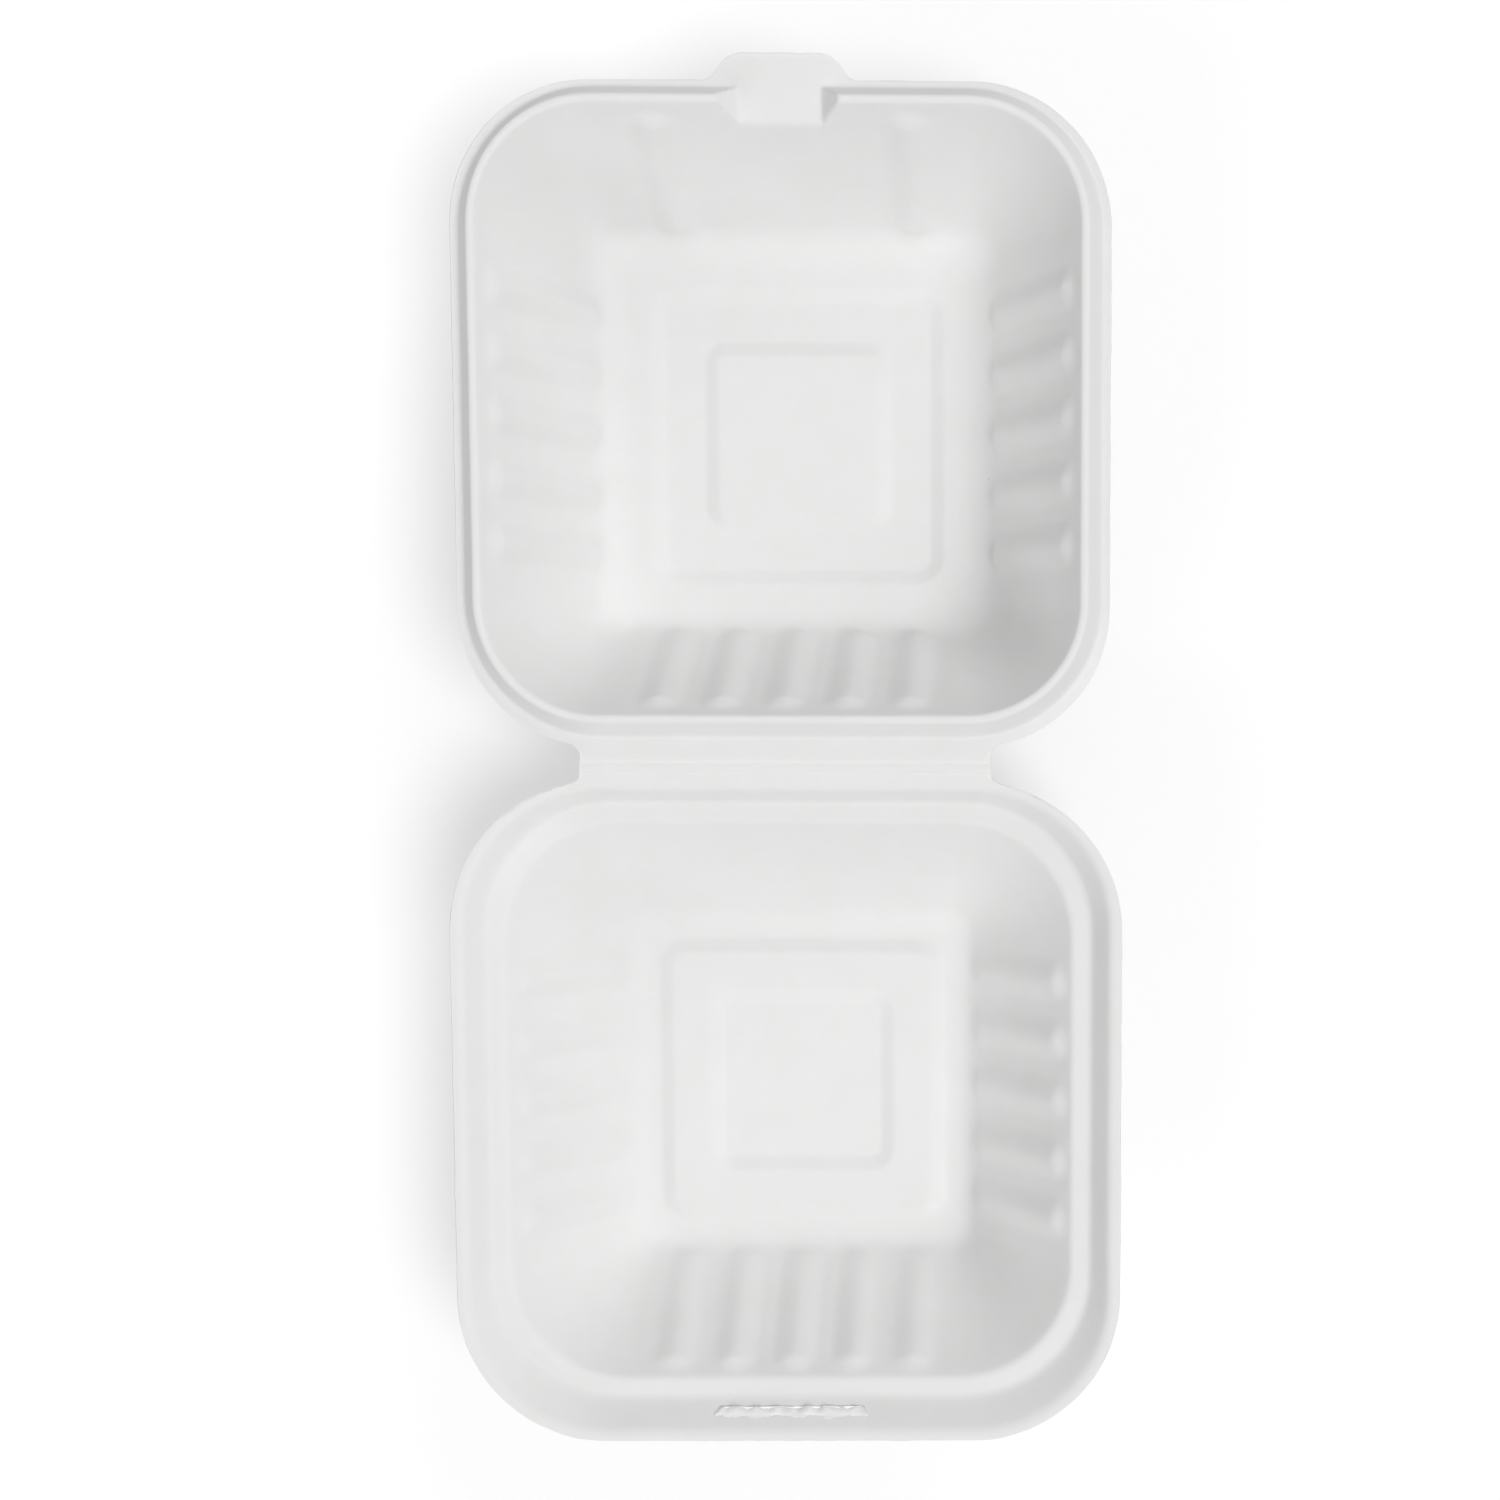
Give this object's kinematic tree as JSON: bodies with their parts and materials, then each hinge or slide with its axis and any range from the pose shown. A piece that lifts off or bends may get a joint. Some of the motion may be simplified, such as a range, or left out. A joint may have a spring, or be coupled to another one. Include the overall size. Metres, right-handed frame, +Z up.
{
  "type": "molded fiber clamshell container",
  "caption": "Square moulded-fibre food box laid open flat: ribbed tray base with a ledge, slotted rim, and a lid with a plug rim and lock tab, joined by a scored fold.",
  "frame": {"origin": "on the table, under the middle of the fold", "axes": "+X along the fold, +Y from the fold towards the lid's tab, +Z up out of the open trays"},
  "size_m": [0.152, 0.3111, 0.0465],
  "materials": {
    "fibre": "matte pressed plant fibre, smooth inside"
  },
  "bodies": {
    "base": {"base": "fibre"},
    "lid": {"lid": "fibre"}
  },
  "joints": [
    {"name": "lid_hinge", "type": "hinge", "parent": "base", "child": "lid", "pos_m": [0, 0, 0.04015], "axis": [1, 0, 0], "range_deg": [0, 179.5]}
  ]
}
